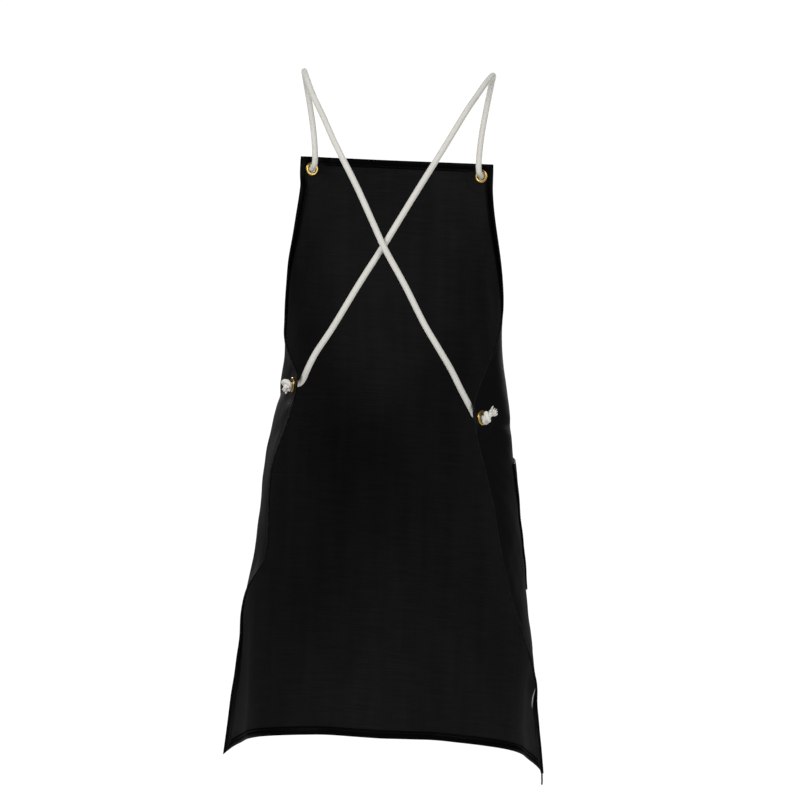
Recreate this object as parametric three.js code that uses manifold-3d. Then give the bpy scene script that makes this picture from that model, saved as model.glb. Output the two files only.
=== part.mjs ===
// A vinyl bib apron in the form that it takes on a wearer: one sheet wrapped round the front and the sides,
// a patch pocket, four brass eyelets and two soft cords that cross on the back and are knotted outside the
// eyelets. Millimetres, +Z up, +Y to the wearer's front, +X to the wearer's right. The origin lies midway
// between the two cords, where they pass over the shoulders.
import * as THREE from "three";
import { mergeVertices } from "three/addons/utils/BufferGeometryUtils.js";
import Module from "manifold-3d";

const wasm = await Module();
wasm.setup();

// Clearance between pieces that rest on each other.
const GAP = 0.3;

// The flat cut of the sheet. Places on it are given as "across", to the right of the centre line, and "up"
// from the hem.
const CUT = {
  halfWidth: 315,
  length: 850,
  sideLength: 540,
  bibHalfWidth: 145,
  armholePower: 2.1,
  cornerRounding: 24,
  sheet: 1.2,
  hem: 12,
};

// Height of the hem on the centre line.
const HEM_HEIGHT = -959;

// Distances from the centre line at which each level below gives its turns.
const STATIONS = [0, 90, 180, 250, 315];

// Levels of the sheet, from the hem to the top of the bib. "front" is how far the centre line stands ahead
// of the shoulders, "shift" how far it is moved to the right, "tilt" how much lower the right edge hangs and
// how much higher the left one, "sag" how far both sides hang below the centre line, "corner" how much
// further they drop close to their edges, and "right" and "left" how many degrees the sheet has turned, at
// each station, from facing straight ahead.
const LEVELS = [
  { up: 0, front: 128, shift: 0, tilt: 8.5, sag: -6.5, corner: 14,
    right: [0, 8, 42, 82, 60], left: [0, 8, 43, 85, 55] },
  { up: 100, front: 127, shift: 0, tilt: 11, sag: 3, corner: 5,
    right: [0, 7, 36, 91, 70], left: [0, 8, 41, 94.5, 58] },
  { up: 160, front: 126, shift: 0, tilt: 14, sag: 8, corner: 1.5,
    right: [0, 7, 31, 86, 100], left: [0, 8, 42, 91.5, 76] },
  { up: 225, front: 123, shift: 1.5, tilt: 16, sag: 12, corner: 0,
    right: [0, 8, 36, 96, 112], left: [0, 8, 42, 89, 90] },
  { up: 285, front: 121, shift: 2.5, tilt: 17, sag: 12, corner: 0,
    right: [0, 9, 42, 104, 120], left: [0, 9, 45, 98, 112] },
  { up: 400, front: 118, shift: 4, tilt: 18, sag: 12, corner: 0,
    right: [0, 10, 54, 112, 126], left: [0, 11, 53, 100, 103] },
  { up: 528, front: 114, shift: 6.8, tilt: 20, sag: 12, corner: 0,
    right: [0, 12, 70, 124, 130], left: [0, 12, 70, 108, 106] },
  { up: 600, front: 113, shift: 3.6, tilt: 18, sag: 12, corner: 0,
    right: [0, 14, 76, 122, 128], left: [0, 17, 78, 90, 90] },
  { up: 700, front: 116, shift: 1, tilt: 12, sag: 12, corner: 0,
    right: [0, 16, 68, 100, 105], left: [0, 16, 68, 95, 95] },
  { up: 850, front: 104, shift: 0, tilt: 6, sag: 12, corner: 0,
    right: [0, 12, 44, 80, 80], left: [0, 12, 44, 80, 80] },
];

// Soft folds in that form: the centre of each on the cut, its half-lengths across and along its own line,
// the lean of that line from upright in degrees, and how far it stands out, or in if negative.
const FOLDS = [
  { across: 290, up: 122, wide: 30, tall: 24, lean: 0, height: 6.5 },
  { across: -288, up: 255, wide: 26, tall: 44, lean: 30, height: -3 },
  { across: 72, up: 0, wide: 40, tall: 270, lean: 4, height: 7 },
  { across: -78, up: 0, wide: 42, tall: 300, lean: -3, height: 6 },
  { across: -4, up: 20, wide: 34, tall: 230, lean: 0, height: -5 },
  { across: 236, up: 498, wide: 14, tall: 62, lean: 68, height: -2.5 },
  { across: -232, up: 500, wide: 14, tall: 58, lean: -66, height: -2.5 },
  { across: 150, up: 690, wide: 20, tall: 80, lean: -22, height: -3 },
  { across: -150, up: 690, wide: 20, tall: 80, lean: 22, height: -3 },
];

// Eyelets: the sheet lies flat and doubled round each. "stand" is how far out the middle of its knot is,
// "tail" turns the knot's loose end round the eyelet's axis, from upright, and "lean" tips it away from that
// axis, in degrees.
const EYELETS = [
  { name: "waist_right", across: 297, up: 520, stand: 12, tail: -12, lean: 44 },
  { name: "waist_left", across: -297, up: 520, stand: 8.5, tail: -114, lean: 67 },
  { name: "bib_right", across: 127, up: 832, stand: 8.5, tail: 165, lean: 65 },
  { name: "bib_left", across: -127, up: 832, stand: 8.5, tail: 190, lean: 65 },
];
const EYELET = { outerRadius: 10.5, bore: 6, barrel: 6.9, flatRadius: 16, patchRadius: 24, sides: 16 };

const POCKET = { from: 75, to: 235, bottom: 254.5, top: 440, seam: 10, slack: 2.2 };

const CORD = { diameter: 8.6, sides: 8, steps: 68 };

// Route of each cord, from its bib eyelet over the shoulder and across the back to the far waist eyelet.
const CORD_ROUTES = {
  cord_left_shoulder: [
    [-124.1, 83.7, -127.8], [-122.2, 79.6, -127.5], [-119.2, 73.1, -122.7], [-118.2, 70.2, -114.5],
    [-119, 69, -97], [-121.5, 66, -73], [-125.5, 59, -47], [-129.5, 46, -24], [-132.5, 24, -6],
    [-133, -2, 0], [-128, -26, -14], [-117, -47, -42], [-101, -69, -75], [-86, -86, -108],
    [-52, -111, -174], [-33, -119.5, -214], [-14, -126, -254], [15, -121.5, -304], [44, -112.5, -358],
    [63, -103.5, -388], [80.8, -90.5, -416], [97, -72, -445.5], [112.2, -54, -471.5], [116.8, -51.2, -479],
    [122.9, -53.4, -482.4], [127.3, -56.2, -482.6],
  ],
  cord_right_shoulder: [
    [124.3, 83.7, -133], [122.4, 79.6, -132.4], [119.4, 73.1, -127.9], [118.4, 70.2, -119.6],
    [119, 69, -101], [121.5, 66, -75], [125.5, 59, -48], [129.5, 46, -24], [132.5, 24, -6],
    [133, -2, 0], [122, -27, -15], [108, -47, -38], [96, -64, -58], [65.5, -89, -113],
    [27, -109, -180], [7.5, -113.5, -214], [-12.5, -116.6, -249], [-44.5, -112.5, -301], [-82, -99, -365],
    [-104.5, -85, -399.5], [-114.4, -75, -418.8], [-121.6, -64.7, -434.5], [-125.6, -63.1, -439.7],
    [-131.4, -63.4, -441.8], [-135.6, -64.3, -442],
  ],
};

const VINYL = new THREE.MeshStandardMaterial({ color: 0x0c0c0e, roughness: 0.5, metalness: 0 });
const BRASS = new THREE.MeshStandardMaterial({ color: 0xb88a3e, roughness: 0.3, metalness: 1 });
const COTTON = new THREE.MeshStandardMaterial({ color: 0xe8e5dc, roughness: 0.9, metalness: 0 });

// Values of a level at any height: a smooth curve through the rows of the table.
const levelRows = LEVELS.map(({ front, shift, tilt, sag, corner, right, left }) => {
  return [front, shift, tilt, sag, corner, ...right, ...left];
});

function levelAt(up) {
  const last = LEVELS.length - 2;
  const below = Math.min(Math.max(LEVELS.findIndex((level) => level.up > up) - 1, 0), last);
  const row = up >= LEVELS[last].up ? last : below;
  const span = LEVELS[row + 1].up - LEVELS[row].up;
  const t = (up - LEVELS[row].up) / span;
  const slope = (at, column) => {
    const before = Math.max(at - 1, 0);
    const after = Math.min(at + 1, LEVELS.length - 1);
    return (levelRows[after][column] - levelRows[before][column]) / (LEVELS[after].up - LEVELS[before].up);
  };
  const values = levelRows[row].map((start, column) => {
    const end = levelRows[row + 1][column];
    const rise = slope(row, column) * span;
    const fall = slope(row + 1, column) * span;
    const bend = 2 * (start - end) + rise + fall;
    return start + t * (rise + t * (3 * (end - start) - 2 * rise - fall + t * bend));
  });
  const [front, shift, tilt, sag, corner, ...turns] = values;
  const right = turns.slice(0, STATIONS.length);
  const left = turns.slice(STATIONS.length);
  return { front, shift, tilt, sag, corner, right, left };
}

// Turn of the sheet, in radians, at a distance from the centre line.
function turnAt(turns, distance) {
  const next = Math.max(STATIONS.findIndex((station) => station >= distance), 1);
  const t = (distance - STATIONS[next - 1]) / (STATIONS[next] - STATIONS[next - 1]);
  return THREE.MathUtils.degToRad(THREE.MathUtils.lerp(turns[next - 1], turns[next], t));
}

// Walks out from the centre line along one level and gives the place reached.
function levelPoint(level, across) {
  const strides = 36;
  const stride = Math.abs(across) / strides;
  const side = Math.sign(across);
  const turns = across < 0 ? level.left : level.right;
  const place = new THREE.Vector2(level.shift, level.front);
  for (let count = 0; count < strides; count++) {
    const turn = turnAt(turns, (count + 0.5) * stride);
    place.x += side * Math.cos(turn) * stride;
    place.y -= Math.sin(turn) * stride;
  }
  return place;
}

// Place of the sheet's outer face before folds. A line up the sheet keeps its length, so what it gains
// sideways it loses in height.
function formPoint(across, up) {
  const climbs = 24;
  const climb = up / climbs;
  const share = across / CUT.halfWidth;
  const { tilt, sag, corner } = levelAt(up);
  let height = HEM_HEIGHT - tilt * share - sag * share ** 2 - corner * share ** 14;
  let place = levelPoint(levelAt(0), across);
  for (let count = 1; count <= climbs; count++) {
    const next = levelPoint(levelAt(count * climb), across);
    height += Math.sqrt(Math.max(climb ** 2 - next.distanceToSquared(place), 0));
    place = next;
  }
  return new THREE.Vector3(place.x, place.y, height);
}

// The sheet's two directions and its outward normal at a place on the cut.
function formFrame(across, up) {
  const reach = 2;
  const low = Math.max(up - reach, 0);
  const along = formPoint(across + reach, up).sub(formPoint(across - reach, up)).normalize();
  const rise = formPoint(across, up + reach).sub(formPoint(across, low)).normalize();
  return { along, rise, normal: rise.clone().cross(along).normalize() };
}

function foldHeight(across, up) {
  return FOLDS.reduce((sum, fold) => {
    const lean = THREE.MathUtils.degToRad(fold.lean);
    const right = across - fold.across;
    const above = up - fold.up;
    const side = (right * Math.cos(lean) - above * Math.sin(lean)) / fold.wide;
    const line = (right * Math.sin(lean) + above * Math.cos(lean)) / fold.tall;
    return sum + fold.height * Math.exp(-2 * (side ** 2 + line ** 2));
  }, 0);
}

// Each eyelet's seat: its centre on the outer face, and the directions of the flat sheet round it.
const seats = EYELETS.map((eyelet) => {
  const frame = formFrame(eyelet.across, eyelet.up);
  const centre = formPoint(eyelet.across, eyelet.up);
  centre.addScaledVector(frame.normal, foldHeight(eyelet.across, eyelet.up));
  frame.rise.copy(frame.along).cross(frame.normal);
  return { ...eyelet, ...frame, centre };
});

// A place on the sheet, raised off its outer face. Round an eyelet the sheet is pressed flat.
function sheetPoint(across, up, raise = 0) {
  const { normal } = formFrame(across, up);
  const place = formPoint(across, up).addScaledVector(normal, foldHeight(across, up) + raise);
  for (const seat of seats) {
    const right = across - seat.across;
    const above = up - seat.up;
    const distance = Math.hypot(right, above);
    const flat = seat.centre.clone().addScaledVector(seat.normal, raise);
    flat.addScaledVector(seat.along, right).addScaledVector(seat.rise, above);
    place.lerp(flat, 1 - THREE.MathUtils.smoothstep(distance, EYELET.flatRadius, 2 * EYELET.flatRadius));
  }
  return place;
}

// Half the cut's width at a height: straight sides, a rounded waist corner, then the hollow armhole.
function halfWidth(up) {
  const left = Math.max((CUT.length - up) / (CUT.length - CUT.sideLength), 0);
  const armhole = CUT.bibHalfWidth + (CUT.halfWidth - CUT.bibHalfWidth) * left ** CUT.armholePower;
  const blend = Math.max(1 - Math.abs(CUT.halfWidth - armhole) / CUT.cornerRounding, 0);
  return Math.min(CUT.halfWidth, armhole) - (blend ** 2 * CUT.cornerRounding) / 4;
}

// How far in from the edge, along a level, a border of the given width reaches where the edge slants.
function borderInset(up, width) {
  const slant = (halfWidth(up + 1) - halfWidth(up - 1)) / 2;
  return width * Math.hypot(1, slant);
}

// Thickness of the sheet: doubled by the turned hem and round the eyelets.
function thickness(across, up) {
  const fromEdge = halfWidth(up) - Math.abs(across);
  const inHem = fromEdge < borderInset(up, CUT.hem) || up < CUT.hem || up > CUT.length - CUT.hem;
  const atEyelet = EYELETS.some((eyelet) => {
    return Math.hypot(across - eyelet.across, up - eyelet.up) < EYELET.patchRadius;
  });
  return inHem || atEyelet ? 2 * CUT.sheet : CUT.sheet;
}

// Closed solid between two faces given on the same grid of rows and columns, the outer one first.
function shellGeometry(outer, inner) {
  const rows = outer.length;
  const columns = outer[0].length;
  const points = [...outer.flat(), ...inner.flat()];
  const innerStart = rows * columns;
  const indices = [];
  const quad = (a, b, c, d) => indices.push(a, b, c, a, c, d);
  const at = (row, column) => row * columns + column;
  for (let row = 0; row + 1 < rows; row++) {
    for (let column = 0; column + 1 < columns; column++) {
      const corners = [at(row, column), at(row + 1, column), at(row + 1, column + 1), at(row, column + 1)];
      quad(...corners);
      quad(...corners.map((corner) => corner + innerStart).reverse());
    }
  }
  const rim = [];
  for (let column = 0; column + 1 < columns; column++) rim.push(at(0, column));
  for (let row = 0; row + 1 < rows; row++) rim.push(at(row, columns - 1));
  for (let column = columns - 1; column > 0; column--) rim.push(at(rows - 1, column));
  for (let row = rows - 1; row > 0; row--) rim.push(at(row, 0));
  rim.forEach((start, index) => {
    const end = rim[(index + 1) % rim.length];
    quad(start, end, end + innerStart, start + innerStart);
  });
  const geometry = new THREE.BufferGeometry().setFromPoints(points);
  geometry.setIndex(indices);
  return geometry;
}

function toManifold(geometry) {
  const plain = geometry.clone();
  plain.deleteAttribute("normal");
  plain.deleteAttribute("uv");
  const welded = mergeVertices(plain, 1e-4);
  const vertProperties = new Float32Array(welded.attributes.position.array);
  const triVerts = new Uint32Array(welded.index.array);
  return new wasm.Manifold(new wasm.Mesh({ numProp: 3, vertProperties, triVerts }));
}

function toGeometry(manifold) {
  const { vertProperties, triVerts } = manifold.getMesh();
  const geometry = new THREE.BufferGeometry();
  geometry.setAttribute("position", new THREE.BufferAttribute(vertProperties, 3));
  geometry.setIndex(new THREE.BufferAttribute(triVerts, 1));
  return geometry;
}

function namedMesh(name, geometry, material) {
  const mesh = new THREE.Mesh(geometry, material);
  mesh.name = name;
  return mesh;
}

// Stands a piece that was made along +Y on the outer face at an eyelet.
function seatMesh(mesh, seat) {
  const basis = new THREE.Matrix4().makeBasis(seat.along, seat.normal, seat.rise);
  mesh.quaternion.setFromRotationMatrix(basis);
  mesh.position.copy(seat.centre);
  return mesh;
}

// Evenly spaced values from one number to another.
function spread(from, to, spaces) {
  return Array.from({ length: spaces + 1 }, (_, index) => from + ((to - from) * index) / spaces);
}

// Lines of the sheet's grid: rows that run across it, with one on each side of the hem's step and through
// the eyelets, and the columns of a row, which follow the cut.
const STEP = 0.5;
const SHEET_ROWS = [
  0, CUT.hem - STEP, CUT.hem + STEP,
  ...spread(40, 494, 14),
  ...spread(508, 532, 2), 540, 556, 575,
  ...spread(602, 812, 6),
  832, CUT.length - CUT.hem - STEP, CUT.length - CUT.hem + STEP, CUT.length,
];

function sheetColumns(up) {
  const half = halfWidth(up);
  const insets = [0, borderInset(up, CUT.hem - STEP), borderInset(up, CUT.hem + STEP)];
  const inner = half - insets[2] - 5.5;
  const border = insets.map((inset) => half - inset);
  return [...border.map((across) => -across), ...spread(-inner, inner, 28), ...border.reverse()];
}

// The sheet, with a hole for each eyelet.
function bodyGeometry() {
  const face = (raise) => SHEET_ROWS.map((up) => {
    return sheetColumns(up).map((across) => sheetPoint(across, up, raise(across, up)));
  });
  const outer = face(() => 0);
  const inner = face((across, up) => -thickness(across, up));
  let sheet = toManifold(shellGeometry(outer, inner));
  for (const seat of seats) {
    const drill = new THREE.CylinderGeometry(EYELET.barrel + GAP, EYELET.barrel + GAP, 16, EYELET.sides);
    const tool = seatMesh(new THREE.Mesh(drill), seat);
    tool.updateMatrix();
    sheet = sheet.subtract(toManifold(drill.applyMatrix4(tool.matrix)));
  }
  return toGeometry(sheet);
}

// The pocket: a patch sewn down on three sides, its turned edges against the sheet, slack at its mouth. Its
// grid keeps the sheet's lines, so that the two lie parallel, and adds its own edges and seams.
function pocketGeometry() {
  const { from, to, bottom, top, seam } = POCKET;
  const mouth = 2 * seam;
  const lines = (sheetLines, own) => {
    const kept = sheetLines.filter((line) => line > own[0] && line < own[own.length - 1]);
    return [...new Set([...own, ...kept])].sort((a, b) => a - b);
  };
  const columns = lines(sheetColumns(bottom), [
    from, from + seam - STEP, from + seam + STEP, to - seam - STEP, to - seam + STEP, to,
  ]);
  const rows = lines(SHEET_ROWS, [
    bottom, bottom + seam - STEP, bottom + seam + STEP, top - mouth - STEP, top - mouth + STEP, top,
  ]);
  const slack = (across, up) => {
    const fromMiddle = (2 * across - from - to) / (to - from - 2 * seam);
    const fromBottom = (up - bottom - seam) / (top - bottom - seam);
    return POCKET.slack * Math.max(1 - fromMiddle ** 2, 0) * Math.max(fromBottom, 0);
  };
  const turned = (across, up) => {
    const fromSides = Math.min(across - from, to - across);
    return fromSides < seam || up < bottom + seam || up > top - mouth;
  };
  const face = (raise) => rows.map((up) => columns.map((across) => {
    return sheetPoint(across, up, GAP + slack(across, up) + raise(across, up));
  }));
  const inner = face((across, up) => (turned(across, up) ? 0 : CUT.sheet));
  return shellGeometry(face(() => 2 * CUT.sheet), inner);
}

// An eyelet, turned about +Y from its section: a domed ring outside, a barrel, and a rolled rim inside.
function eyeletGeometry() {
  const { outerRadius, bore, barrel, sides } = EYELET;
  const seat = GAP + 0.2;
  const back = -2 * CUT.sheet - seat;
  const section = [
    [barrel, back], [barrel, seat], [outerRadius - 0.2, seat], [outerRadius, 1.1], [outerRadius - 1.1, 2.1],
    [bore + 1.6, 2.3], [bore + 0.2, 1.4], [bore, back - 0.3], [bore + 0.8, back - 1.2],
    [outerRadius - 1.3, back - 1.1], [outerRadius - 0.7, back - 0.3], [outerRadius - 1, back],
    [barrel, back],
  ];
  const outline = section.map(([radius, height]) => new THREE.Vector2(radius, height));
  return new THREE.LatheGeometry(outline, sides);
}

// A stop knot on +Y: the cord comes out of the eyelet into two turns pulled tight on each other, and ends in
// a short tail that frays into locks.
function knotGeometry({ stand, tail, lean }) {
  const radius = CORD.diameter / 2;
  const piece = (geometry, place) => {
    place.updateMatrix();
    return toManifold(geometry.applyMatrix4(place.matrix));
  };
  const turn = (height, tip, ring) => {
    const place = new THREE.Object3D();
    place.rotation.set(Math.PI / 2 + tip, 0, 0);
    place.position.y = height;
    return piece(new THREE.TorusGeometry(ring, radius - 0.4, 6, 10), place);
  };
  const neck = new THREE.Object3D();
  const foot = 2;
  const head = stand + 3;
  neck.position.y = (head + foot) / 2;
  const stub = new THREE.Object3D();
  stub.rotation.order = "YXZ";
  stub.rotation.set(THREE.MathUtils.degToRad(lean), THREE.MathUtils.degToRad(tail), 0);
  stub.position.y = stand;
  stub.translateY(6.5);
  let knot = turn(stand - 2, 0.3, 4.8).add(turn(stand + 1.9, -0.5, 4));
  knot = knot.add(piece(new THREE.CylinderGeometry(radius, radius, head - foot, 8), neck));
  knot = knot.add(piece(new THREE.CylinderGeometry(radius + 0.4, radius - 0.8, 13, 7), stub));
  for (let lock = 0; lock < 4; lock++) {
    const strand = stub.clone();
    strand.rotateY((lock * 2 * Math.PI) / 4);
    strand.rotateZ(0.3);
    strand.translateY(8);
    knot = knot.add(piece(new THREE.ConeGeometry(2.4, 8, 4), strand));
  }
  return toGeometry(knot);
}

// A cord: a round section carried along its route.
function cordGeometry(route) {
  const points = route.map((point) => new THREE.Vector3(...point));
  const path = new THREE.CatmullRomCurve3(points, false, "centripetal");
  const section = new THREE.Shape();
  for (let side = 0; side < CORD.sides; side++) {
    const angle = (2 * Math.PI * side) / CORD.sides;
    const corner = [Math.cos(angle) * CORD.diameter / 2, Math.sin(angle) * CORD.diameter / 2];
    if (side === 0) section.moveTo(...corner);
    else section.lineTo(...corner);
  }
  section.closePath();
  return new THREE.ExtrudeGeometry(section, { steps: CORD.steps, extrudePath: path, bevelEnabled: false });
}

const apron = new THREE.Group();
apron.add(namedMesh("apron_body", bodyGeometry(), VINYL));
apron.add(namedMesh("pocket", pocketGeometry(), VINYL));
for (const seat of seats) {
  apron.add(seatMesh(namedMesh(`eyelet_${seat.name}`, eyeletGeometry(), BRASS), seat));
  apron.add(seatMesh(namedMesh(`knot_${seat.name}`, knotGeometry(seat), COTTON), seat));
}
for (const [name, route] of Object.entries(CORD_ROUTES)) {
  apron.add(namedMesh(name, cordGeometry(route), COTTON));
}

export default apron;
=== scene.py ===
import math
from collections import namedtuple

import bmesh
import bpy
import numpy as np
from mathutils import Matrix, Vector


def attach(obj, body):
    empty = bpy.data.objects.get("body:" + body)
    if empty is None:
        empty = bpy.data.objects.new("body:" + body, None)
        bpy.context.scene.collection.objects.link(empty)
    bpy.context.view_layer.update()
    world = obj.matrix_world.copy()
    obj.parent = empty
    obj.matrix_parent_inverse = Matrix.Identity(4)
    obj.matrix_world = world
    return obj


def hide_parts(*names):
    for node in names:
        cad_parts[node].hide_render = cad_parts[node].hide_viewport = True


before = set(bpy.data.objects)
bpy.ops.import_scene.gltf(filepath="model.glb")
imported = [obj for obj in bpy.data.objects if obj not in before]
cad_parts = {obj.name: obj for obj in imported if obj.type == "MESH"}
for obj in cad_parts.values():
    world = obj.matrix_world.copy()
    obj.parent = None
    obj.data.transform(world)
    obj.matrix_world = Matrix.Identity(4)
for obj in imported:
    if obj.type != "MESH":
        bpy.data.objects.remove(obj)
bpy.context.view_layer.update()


# The studio: a pale floor under the hanging apron that fades out into a white surround, two large soft lights
# behind the apron and two in front. The camera looks at its open back from waist height, level and turned a
# little about its own line of sight.
CAMERA_PLACE = (0.0127, -2.80, -0.460)
CAMERA_ROLL = math.radians(1.35)
FOCAL_PIXELS, FRAME_PIXELS, SENSOR = 1986, 800, 36.0
FLOOR_HEIGHT, FLOOR_RADIUS = -1.43, 2.6
SOFT_LIGHTS = (
    # name, place, size, watts
    ("key_light", (-1.9, -2.6, 1.3), 1.9, 84),
    ("fill_light", (2.3, -2.3, 0.3), 1.9, 42),
    ("front_light", (1.1, 3.1, 0.9), 1.8, 105),
    ("front_fill", (-1.2, 3.1, 1.0), 1.8, 54),
)
SURROUND_LIGHT, SURROUND_SEEN = 0.10, 1.05


class Tone:
    """A value on a finish's node tree. Arithmetic on it adds Math nodes, and node() adds any other."""

    def __init__(self, tree, socket=None):
        self.tree = tree
        self.socket = socket

    def node(self, kind, sockets=(), output=0, **settings):
        made = self.tree.nodes.new("ShaderNode" + kind)
        for name, value in settings.items():
            setattr(made, name, value)
        for name, value in dict(sockets).items():
            if isinstance(value, Tone):
                self.tree.links.new(value.socket, made.inputs[name])
            else:
                made.inputs[name].default_value = value
        return Tone(self.tree, made.outputs[output])

    def math(self, operation, *terms):
        return self.node("Math", enumerate(terms), operation=operation)

    def feed(self, socket):
        self.tree.links.new(self.socket, socket)

    def mixed(self, low, high):
        """A colour between two, by this value."""
        return self.node("Mix", {0: self, 6: low, 7: high}, output=2, data_type="RGBA")

    def ramp(self, start, end):
        """This value smoothed from 0 at start to 1 at end."""
        return self.node("MapRange", {0: self, 1: start, 2: end}, interpolation_type="SMOOTHSTEP")

    def __add__(self, other):
        return self.math("ADD", self, other)

    def __rsub__(self, other):
        return self.math("SUBTRACT", other, self)

    def __mul__(self, other):
        return self.math("MULTIPLY", self, other)

    __radd__ = __add__


def new_finish(name, constants):
    """A material, its shader with the given sockets set, and the start of its node tree."""
    material = bpy.data.materials.new(name)
    material.use_nodes = True
    shader = material.node_tree.nodes["Principled BSDF"]
    for socket, value in constants.items():
        shader.inputs[socket].default_value = value
    return material, shader, Tone(material.node_tree)


def add_object(name, data):
    made = bpy.data.objects.new(name, data)
    bpy.context.scene.collection.objects.link(made)
    return made


camera = add_object("camera", bpy.data.cameras.new("camera"))
camera.data.sensor_width = SENSOR
camera.data.lens = SENSOR * FOCAL_PIXELS / FRAME_PIXELS
roll_cos, roll_sin = math.cos(CAMERA_ROLL), math.sin(CAMERA_ROLL)
camera.matrix_world = Matrix((
    (roll_cos, -roll_sin, 0, CAMERA_PLACE[0]),
    (0, 0, -1, CAMERA_PLACE[1]),
    (roll_sin, roll_cos, 0, CAMERA_PLACE[2]),
    (0, 0, 0, 1),
))
bpy.context.scene.camera = camera
bpy.context.scene.view_settings.view_transform = "Standard"

apron_middle = Vector((0, 0, -0.48))
for light_name, place, size, watts in SOFT_LIGHTS:
    light = add_object(light_name, bpy.data.lights.new(light_name, "AREA"))
    light.data.shape = "DISK"
    light.data.size = size
    light.data.energy = watts
    aim = (apron_middle - Vector(place)).to_track_quat("-Z", "Y")
    light.matrix_world = Matrix.Translation(place) @ aim.to_matrix().to_4x4()

surround = bpy.data.worlds.new("surround")
bpy.context.scene.world = surround
surround.use_nodes = True
seen_direct = Tone(surround.node_tree).node("LightPath")
strength = SURROUND_LIGHT + seen_direct * (SURROUND_SEEN - SURROUND_LIGHT)
sky = surround.node_tree.nodes["Background"]
sky.inputs["Color"].default_value = (1, 1, 1, 1)
strength.feed(sky.inputs["Strength"])

floor_mesh = bpy.data.meshes.new("floor")
floor_shape = bmesh.new()
bmesh.ops.create_circle(floor_shape, cap_ends=True, segments=96, radius=FLOOR_RADIUS)
floor_shape.to_mesh(floor_mesh)
floor_shape.free()
floor_mesh.transform(Matrix.Translation((0, 0, FLOOR_HEIGHT)))
floor = add_object("floor", floor_mesh)
floor_finish, floor_shader, floor_tone = new_finish(
    "pale_floor", {"Base Color": (0.86, 0.86, 0.85, 1), "Roughness": 0.8, "Specular IOR Level": 0.1}
)
floor_place = floor_tone.node("TexCoord", output=3)
flat_place = floor_tone.node("VectorMath", {0: floor_place, 1: (1, 1, 0)}, operation="MULTIPLY")
from_middle = floor_tone.node("VectorMath", {0: flat_place}, output=1, operation="LENGTH")
floor_fade = 1 - from_middle.ramp(0.5 * FLOOR_RADIUS, 0.95 * FLOOR_RADIUS)
floor_fade.feed(floor_shader.inputs["Alpha"])
floor_mesh.materials.append(floor_finish)


# The apron: one piece of vinyl-coated knit, cut to a bib shape, with every edge turned in and sewn down.
# It hangs from its four eyelets and is wrapped round as when worn, so its form is worked out by a walk from
# the middle of the front to each side at each level, and its soft folds are added on that form.
CUT_HALF, CUT_LENGTH, SIDE_LENGTH, BIB_HALF = 0.315, 0.850, 0.540, 0.145
ARMHOLE_POWER, CORNER_ROUNDING = 2.1, 0.024
SHEET = 0.0012
HEM_HEIGHT = -0.959
STATIONS = (0, 0.090, 0.180, 0.250, 0.315)
# Right and left: which way the walk heads at each station, in degrees.
Level = namedtuple("Level", "up front shift tilt sag corner right left")
LEVELS = (
    Level(0.000, 0.128, 0.0000, 0.0085, -0.0065, 0.0140, (0, 8, 42, 82, 60), (0, 8, 43, 85, 55)),
    Level(0.100, 0.127, 0.0000, 0.0110, 0.0030, 0.0050, (0, 7, 36, 91, 70), (0, 8, 41, 94.5, 58)),
    Level(0.160, 0.126, 0.0000, 0.0140, 0.0080, 0.0015, (0, 7, 31, 86, 100), (0, 8, 42, 91.5, 76)),
    Level(0.225, 0.123, 0.0015, 0.0160, 0.0120, 0.0000, (0, 8, 36, 96, 112), (0, 8, 42, 89, 90)),
    Level(0.285, 0.121, 0.0025, 0.0170, 0.0120, 0.0000, (0, 9, 42, 104, 120), (0, 9, 45, 98, 112)),
    Level(0.400, 0.118, 0.0040, 0.0180, 0.0120, 0.0000, (0, 10, 54, 112, 126), (0, 11, 53, 100, 103)),
    Level(0.528, 0.114, 0.0068, 0.0200, 0.0120, 0.0000, (0, 12, 70, 124, 130), (0, 12, 70, 108, 106)),
    Level(0.600, 0.113, 0.0036, 0.0180, 0.0120, 0.0000, (0, 14, 76, 122, 128), (0, 17, 78, 90, 90)),
    Level(0.700, 0.116, 0.0010, 0.0120, 0.0120, 0.0000, (0, 16, 68, 100, 105), (0, 16, 68, 95, 95)),
    Level(0.850, 0.104, 0.0000, 0.0060, 0.0120, 0.0000, (0, 12, 44, 80, 80), (0, 12, 44, 80, 80)),
)
Fold = namedtuple("Fold", "across up wide tall lean height")
FOLDS = (
    Fold(0.290, 0.122, 0.030, 0.024, 0, 0.0065),
    Fold(-0.288, 0.255, 0.026, 0.044, 30, -0.003),
    Fold(0.072, 0.000, 0.040, 0.270, 4, 0.007),
    Fold(-0.078, 0.000, 0.042, 0.300, -3, 0.006),
    Fold(-0.004, 0.020, 0.034, 0.230, 0, -0.005),
    Fold(0.236, 0.498, 0.014, 0.062, 68, -0.0025),
    Fold(-0.232, 0.500, 0.014, 0.058, -66, -0.0025),
    Fold(0.150, 0.690, 0.020, 0.080, -22, -0.003),
    Fold(-0.150, 0.690, 0.020, 0.080, 22, -0.003),
)
Wave = namedtuple("Wave", "across up phase height")
DRIFTS = (
    Wave(0.9, 2.3, 0.7, 0.036),
    Wave(1.9, -1.2, 2.9, 0.042),
)
CRUMPLE = (
    Wave(2.6, 1.1, 1.9, 0.00110),
    Wave(-4.3, 2.9, 3.6, 0.00070),
    Wave(9.5, 3.7, 0.4, 0.00036),
    Wave(-6.4, 8.3, 2.1, 0.00032),
    Wave(4.6, 14.7, 1.3, 0.00020),
    Wave(23.0, 10.6, 5.2, 0.00011),
    Wave(-27.0, 17.4, 0.9, 0.00008),
)
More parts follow.
